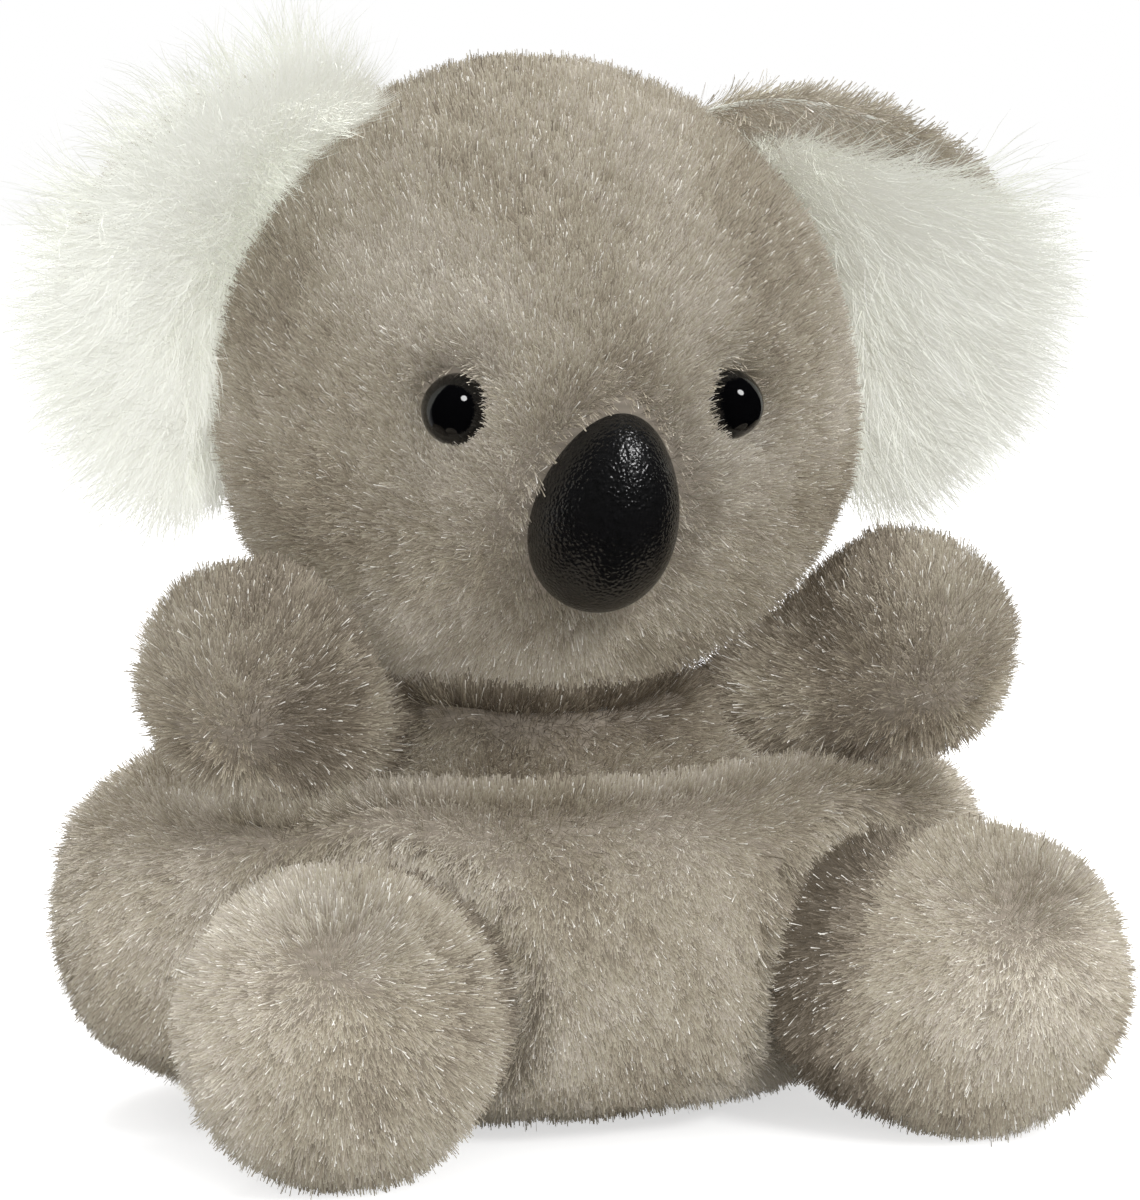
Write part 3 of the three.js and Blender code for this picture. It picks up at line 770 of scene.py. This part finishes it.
def clear_of_buttons(places):
    clear = np.ones(len(places), bool)
    for seat, half_width, half_height, taper in buttons:
        clear &= button_reach(seat, half_width + button_gap, half_height + button_gap, taper, places) > 1
    return clear


def head_part(front, left):
    def keep(places):
        over_body = (places[:, 2] < head_middle[2]) & (np.hypot(*places.T[:2]) < neck_opening + neck_clear)
        return (((places[:, 1] < crown_seam) == front) & ((places[:, 0] > 0) == left)
                & clear_of_buttons(places) & ~over_body)
    return keep


for name, front, left in (("face_left_pile", True, True), ("face_right_pile", True, False),
                          ("head_back_left_pile", False, True), ("head_back_right_pile", False, False)):
    fur = pile(name, head_skin, head_comb, head_part(front, left), grey_fur, per_square=42 if front else 26,
               grown=chin_growth)
    finish_piece(fur, "head")
apply_modifier(head_skin, "SOLIDIFY", thickness=backing * MM, offset=-1)
eye_post_radius, nose_post_radius, post_ease = 1, 1.8, 0.3
cut(head_skin, rod("neck_hole", head_middle, -straight_up, neck_opening, 2 * head_radius),
    *(rod("post_hole", head_middle, np.array(seat)[:3, 1], radius + post_ease, 2 * head_radius)
      for seat, radius in ((eye_frames["left"], eye_post_radius), (eye_frames["right"], eye_post_radius),
                           (nose_frame, nose_post_radius))))

# Arms and legs
# Each is a tapered mitt of fur fabric, stuffed with fibre and sewn on at its narrow end.
whorl_ways = {"arm": (0, 0, -1.6), "leg": (0, -0.4, 1.1)}  # from the limb's own way
whorl_width, whorl_lean = 7, 0.02  # the pile stands up within this of its whorl, to this share
whorl_spread = (0.5, 0.5, 1)  # the pile lies mostly up and down from its whorl
limb_openings = {"arm": 4, "leg": 7}
pile_starts = {"arm": -2, "leg": -6}  # along the limb from its joint
# The arms' pile is dyed darker than the legs', as painted shade where the head and ears shadow them.
limb_tones_and_painted_shade = {"arm": 0.3, "leg": 0.5}
limb_longer, longer_reach = {"arm": 0.5, "leg": 0}, 12  # how much longer the pile is at the seam
seam_shade_most, seam_shade_reach = 0.8, 9  # painted shade at the seam: its share at the joint, and the length over which it falls by 1

for limb_name in limbs:
    for side_name in sides:
        node = f"{side_name}_{limb_name}"
        start, axis = limb_line(side_name, limb_name)
        tip_radius, reach = limbs[limb_name][4:]
        limb = limb_form(f"{node}_skin", side_name, limb_name, -pile_depth)
        evened(limb, voxel=1.1, smoothing=4)
        places = place_of(limb)
        places[:, 2] = np.maximum(places[:, 2], floor_lift)
        put_places(limb, places)
        whorl = start + axis * reach + unit(axis + whorl_ways[limb_name]) * tip_radius

        def limb_comb(places, normals, whorl=whorl):
            apart = (places - whorl) * whorl_spread
            far = np.linalg.norm(apart, axis=1, keepdims=True)
            return unit(across(apart, normals)) * np.clip(far / whorl_width, whorl_lean, 1)

        def limb_keep(places, start=start, axis=axis, first=pile_starts[limb_name]):
            return (places - start) @ axis > first

        def limb_growth(places, start=start, axis=axis, longer=limb_longer[limb_name]):
            return 1 + longer * np.clip(1 - (places - start) @ axis / longer_reach, 0, 1)

        # Painted shade on the pile next to the body, fading along the limb.
        def limb_painted_shade(places, start=start, axis=axis):
            return np.clip(seam_shade_most - (places - start) @ axis / seam_shade_reach, 0, 1)

        fur = pile(f"{node}_pile", limb, limb_comb, limb_keep, grey_fur, tone=limb_tones_and_painted_shade[limb_name],
                   grown=limb_growth, painted_shade_share=limb_painted_shade)
        finish_piece(fur, node)
        apply_modifier(limb, "SOLIDIFY", thickness=backing * MM, offset=-1)
        cut(limb, rod("limb_hole", start, -axis, limb_openings[limb_name], 2 * reach))
        finish_piece(limb, node, grey_knit, (node,))

# Ears
# Two layers of fabric: long white pile in front, the short grey pile behind. They are cupped forwards,
# barely stuffed, and sewn to the side of the head along a curve.
ear_reach, ear_half_height, ear_curl = 24, 25, 5
ear_rim = 2.4  # the fabric ends this far inside the pile's rim
ear_side, ear_seam_rise, ear_ahead = 91, 21, 59
ear_leans = {"left": 24, "right": 16}
ear_fabric = 0.9
ear_ease = 1.5  # how far an ear's edge lies under the head's pile
ear_droops = {"left": 0.3, "right": 0.1}  # how far the long pile hangs
ear_seam_out = -13  # where the seam lies along the ear from its middle
comb_width, comb_lean = 26, 0.35  # the long pile stands up within this of the seam, to this share
short_pile, short_reach = 0.25, 8  # its share of its length beside the head, and how far out it is short

white_fur = fur_material(
    "white_long_modacrylic_pile",
    [(0, "e6e8e0"), (0.3, "eef0e8"), (0.5, "f3f4ee"), (0.8, "f8f9f4"), (1, "ffffff")],
    # along: slightly darker roots, painted shade in the pile
    [(0, "eef0e4"), (0.4, "f6f7f0"), (1, "ffffff")])
white_knit = knit_material("white_knitted_backing", "dfe1d6", "eff0e8")
front_depth = 0.15  # how far back the white pile goes round the rim
front_reach = 1.2  # past the whole ear, which is 1
rolled = {"left": 0.25, "right": 0}  # how far over the front, from its top rim, the grey pile is rolled
roll_start, roll_fade = 25, 25  # degrees up from the ear's middle

for side_name, side in sides.items():
    base = (Matrix.Rotation(math.radians(ear_side), 4, "Z")
            @ Matrix.Rotation(math.radians(-ear_seam_rise), 4, "X") @ Vector((0, -head_radius, 0)))
    ear_frame = (Matrix.Translation(Vector(head_middle)) @ Matrix.Rotation(head_turn, 4, "Z")
                 @ Matrix.Diagonal((side, 1, 1, 1)) @ Matrix.Translation(base)
                 @ Matrix.Rotation(math.radians(ear_ahead - 90), 4, "Z")
                 @ Matrix.Rotation(math.radians(ear_leans[side_name]), 4, "X"))
    ear = ball(f"{side_name}_ear_skin", 5)
    places = place_of(ear)
    curl = ear_curl * places[:, 2] ** 2
    places *= (ear_reach - ear_rim, ear_fabric, ear_half_height - ear_rim)
    places[:, 1] -= curl
    put_places(ear, out_of(ear_frame, places))
    if side < 0:
        ear.data.flip_normals()
    joint = f"{side_name}_ear_fold"
    first, last = joints[joint]["range_deg"]
    for angle in (first, 0, last):
        room = head_form("ear_room", -ear_ease)
        put_places(room, turned(place_of(room), joint, -angle))
        cut(ear, room)
    node = f"{side_name}_ear"
    finish_piece(ear, node, white_knit, (f"{node}_front", f"{node}_back"))
    seam_place = out_of(ear_frame, np.array((float(ear_seam_out), 0, 0)))

    def ear_comb(places, normals, seam_place=seam_place, droop=ear_droops[side_name]):
        far = np.linalg.norm(places - seam_place, axis=1, keepdims=True)
        hanging = unit(places - seam_place) - (0, 0, droop)
        return unit(across(hanging, normals)) * np.clip(far / comb_width, comb_lean, 1)

    def ear_front(places, frame=ear_frame, band=rolled[side_name]):
        local = into(frame, places)
        wide, high = local[:, 0] / (ear_reach - ear_rim), local[:, 2] / (ear_half_height - ear_rim)
        upwards = np.degrees(np.arctan2(high, wide))
        grey = band * np.clip((upwards - roll_start) / roll_fade, 0, 1)
        white_reach = (1 if band else front_reach) - grey
        return (local[:, 1] + ear_curl * high ** 2 < front_depth) & (np.hypot(wide, high) <= white_reach)

    def ear_growth(places):
        """Short beside the head, and long from there out."""
        from_head = np.linalg.norm(places - head_middle, axis=1) - head_radius
        return np.clip(short_pile + from_head / short_reach, short_pile, 1)

    for half, upper in (("upper", True), ("lower", False)):
        def half_ear(places, frame=ear_frame, upper=upper):
            return ear_front(places) & ((into(frame, places)[:, 2] > 0) == upper)

        fur = pile(f"{node}_{half}_white_pile", ear, ear_comb, half_ear, white_fur, per_square=38,
                   length=12.5, thick=0.08, tuft=8, tuft_radius=0.7, draw=0.3, lean=(42, 84),
                   spread=(0.1, 0.06, 0.06), bends=3, upright=0, grown=ear_growth)
        finish_piece(fur, node)

    def along_ear(places, normals, way=np.array(ear_frame)[:3, 0]):
        return unit(across(np.broadcast_to(way, places.shape), normals))

    fur = pile(f"{node}_grey_pile", ear, along_ear, lambda places: ~ear_front(places), grey_fur,
               lean=(68, 68), tone=0.6)
    finish_piece(fur, node)

# Eyes
# Glossy black moulded buttons, each on a post through the face panel.
eye_depth, eye_post_length = 5.4, 6
button_edge = 0.5  # how far its rolled edge stands off

gloss_black, tree, shader = new_material("gloss_black_moulded_plastic")
specks = texture(tree, "Noise", Scale=900, Detail=3)
dye(tree, shader, specks.outputs[0], [(0, "030304"), (1, "070708")], 0.05)


def button(name, frame, half_width, half_height, depth, taper, post_radius, post_length, material):
    """A domed button with a rolled edge and a post behind, on the skin of the head."""
    forward = np.array(frame)[:3, 1]
    base = float(head_reach(forward[None])[0]) - button_seat
    bpy.ops.mesh.primitive_uv_sphere_add(segments=96, ring_count=64, radius=MM)
    dome = bpy.context.object
    dome.name = name
    places = place_of(dome)
    rise = places[:, 1]
    places[:, 0] *= half_width * (1 - taper * places[:, 2])
    places[:, 2] *= half_height
    places[:, 1] = base + button_edge + rise * np.where(rise > 0, depth - button_edge, button_edge)
    put_places(dome, places)
    post_length += button_edge
    bpy.ops.mesh.primitive_cylinder_add(
        vertices=32, radius=post_radius * MM, depth=post_length * MM, rotation=(math.pi / 2, 0, 0),
        location=(0, (base + button_edge - post_length / 2) * MM, 0))
    post = bpy.context.object
    select_only(post)
    bpy.ops.object.transform_apply()
    select_only(dome, post)
    bpy.ops.object.join()
    bpy.ops.object.shade_smooth()
    put_places(dome, out_of(frame, place_of(dome)))
    finish_piece(dome, "head", material, (name,))


for side_name in sides:
    button(f"{side_name}_eye", eye_frames[side_name], eye_radius, eye_radius, eye_depth, 0,
           eye_post_radius, eye_post_length, gloss_black)

# Nose
# An egg-shaped hard moulding, satin black with a fine leather grain.
nose_post_length = 7

grained_black, tree, shader = new_material("satin_black_grained_plastic")
place = add_node(tree, "ShaderNodeTexCoord")
wander = add_node(tree, "ShaderNodeTexNoise", {"Vector": place.outputs["Object"]}, Scale=1500, Detail=2)
pulled = add_node(tree, "ShaderNodeMix", {4: place.outputs["Object"], 5: wander.outputs["Color"]},
                  data_type="VECTOR")
pulled.inputs[0].default_value = 0.0004  # so that the grains aren't round
grain = add_node(tree, "ShaderNodeTexVoronoi", {"Vector": pulled.outputs[1]}, Scale=2600, feature="SMOOTH_F1")
emboss(tree, shader, grain.outputs["Distance"], 0.15, invert=True)
dye(tree, shader, wander.outputs[0], [(0.3, "090909"), (0.7, "101011")], 0.27)
shader.inputs["Specular IOR Level"].default_value = 0.9
button("nose", nose_frame, nose_half_width, nose_half_height, nose_depth, nose_taper,
       nose_post_radius, nose_post_length, grained_black)

# Washers
# Locking washers pushed over the posts inside the head: cloudy white nylon with fine moulding specks.
washer_nylon, tree, shader = new_material("white_moulded_nylon")
specks = texture(tree, "Noise", Scale=1 / (0.6 * MM), Detail=3)
dye(tree, shader, specks.outputs[0], [(0.3, "dddad0"), (0.7, "ebe9e2")], 0.45)
emboss(tree, shader, specks.outputs[0], 0.03, strength=0.3)
for node in ("left_eye_washer", "right_eye_washer", "nose_washer"):
    put_material(bpy.data.objects[node], washer_nylon)

# Neck thread
# Grey polyester thread in ladder stitches round the neck opening, twisted, so it shows slanting strands.
strand_spacing = 0.7

neck_twine, tree, shader = new_material("grey_twisted_polyester_thread")
strands = bands(tree, strand_spacing, "DIAGONAL", Distortion=0.6)
dye(tree, shader, strands, [(0, "70685e"), (1, "99907f")], 0.7)
emboss(tree, shader, strands, 0.15, strength=0.6)
put_material(bpy.data.objects["neck_thread"], neck_twine)

# Filling
# Carded polyester fibre pushed into the head, body, arms and legs by hand, so it lies in soft lumps.
lump_size, lump_rise, lump_seed = 7, 0.45, 14


def lumpy(node, voxel, size, rise):
    """A remeshed copy of a CAD node whose outside swells in lumps of about that size and rise."""
    obj = bpy.data.objects[node].copy()
    obj.data = obj.data.copy()
    obj.name = obj.data.name = f"{node}_lumps"
    bpy.context.scene.collection.objects.link(obj)
    select_only(obj)
    bpy.ops.object.mode_set(mode="EDIT")
    bpy.ops.mesh.select_all(action="SELECT")
    bpy.ops.mesh.remove_doubles(threshold=0.01 * MM)
    bpy.ops.object.mode_set(mode="OBJECT")
    evened(obj, voxel, 3)
    places, normals = place_of(obj), normals_of(obj)
    outer = ((places - places.mean(axis=0)) * normals).sum(axis=1) > 0
    swell = rise * (1 + patches(places, size, lump_seed)) * outer
    put_places(obj, places + normals * swell[:, None])
    return obj


fibre, tree, shader = new_material("white_carded_polyester_fibre")
strands = texture(tree, "Noise", Scale=1 / (1.5 * MM), Detail=6, Distortion=2.5)
dye(tree, shader, strands.outputs[0], [(0.3, "dcdad2"), (0.7, "f7f6f1")], 0.95)
emboss(tree, shader, strands.outputs[0], 0.5, strength=0.8)
for body, node in (("trunk", "body_filling"), ("head", "head_filling"), ("left_arm", "left_arm_filling"),
                   ("right_arm", "right_arm_filling"), ("left_leg", "left_leg_filling"),
                   ("right_leg", "right_leg_filling")):
    lumps = lumpy(node, voxel=1.3, size=lump_size, rise=lump_rise)
    finish_piece(lumps, body, fibre, (node,))

# Pouch of pellets
# A sewn cotton pouch of small polyethylene pellets, which let the sack slump and give it weight.
weave_spacing = 0.5

cotton, tree, shader = new_material("unbleached_plain_weave_cotton")
warp, weft = (bands(tree, weave_spacing, way) for way in "XY")
weave = add_node(tree, "ShaderNodeMath", {0: warp, 1: weft}, operation="MULTIPLY")
dye(tree, shader, weave.outputs[0], [(0, "bdb8aa"), (1, "dedacc")], 0.9)
emboss(tree, shader, weave.outputs[0], 0.1, strength=0.5)
pouch = lumpy("pellet_pouch", voxel=0.8, size=5, rise=0.1)
finish_piece(pouch, "trunk", cotton, ("pellet_pouch",))

beads, tree, shader = new_material("white_polyethylene_pellets")
cells = texture(tree, "Voronoi", Scale=1 / (2.5 * MM))
# Painted shade: each pellet is darker towards its edge, where it meets the next.
dye(tree, shader, cells.outputs["Distance"], [(0, "f6f5f0"), (1, "c9c7be")], 0.35)
emboss(tree, shader, cells.outputs["Distance"], 0.8, invert=True)
pellets = lumpy("pellets", voxel=0.8, size=2.5, rise=0.1)
finish_piece(pellets, "trunk", beads, ("pellets",))
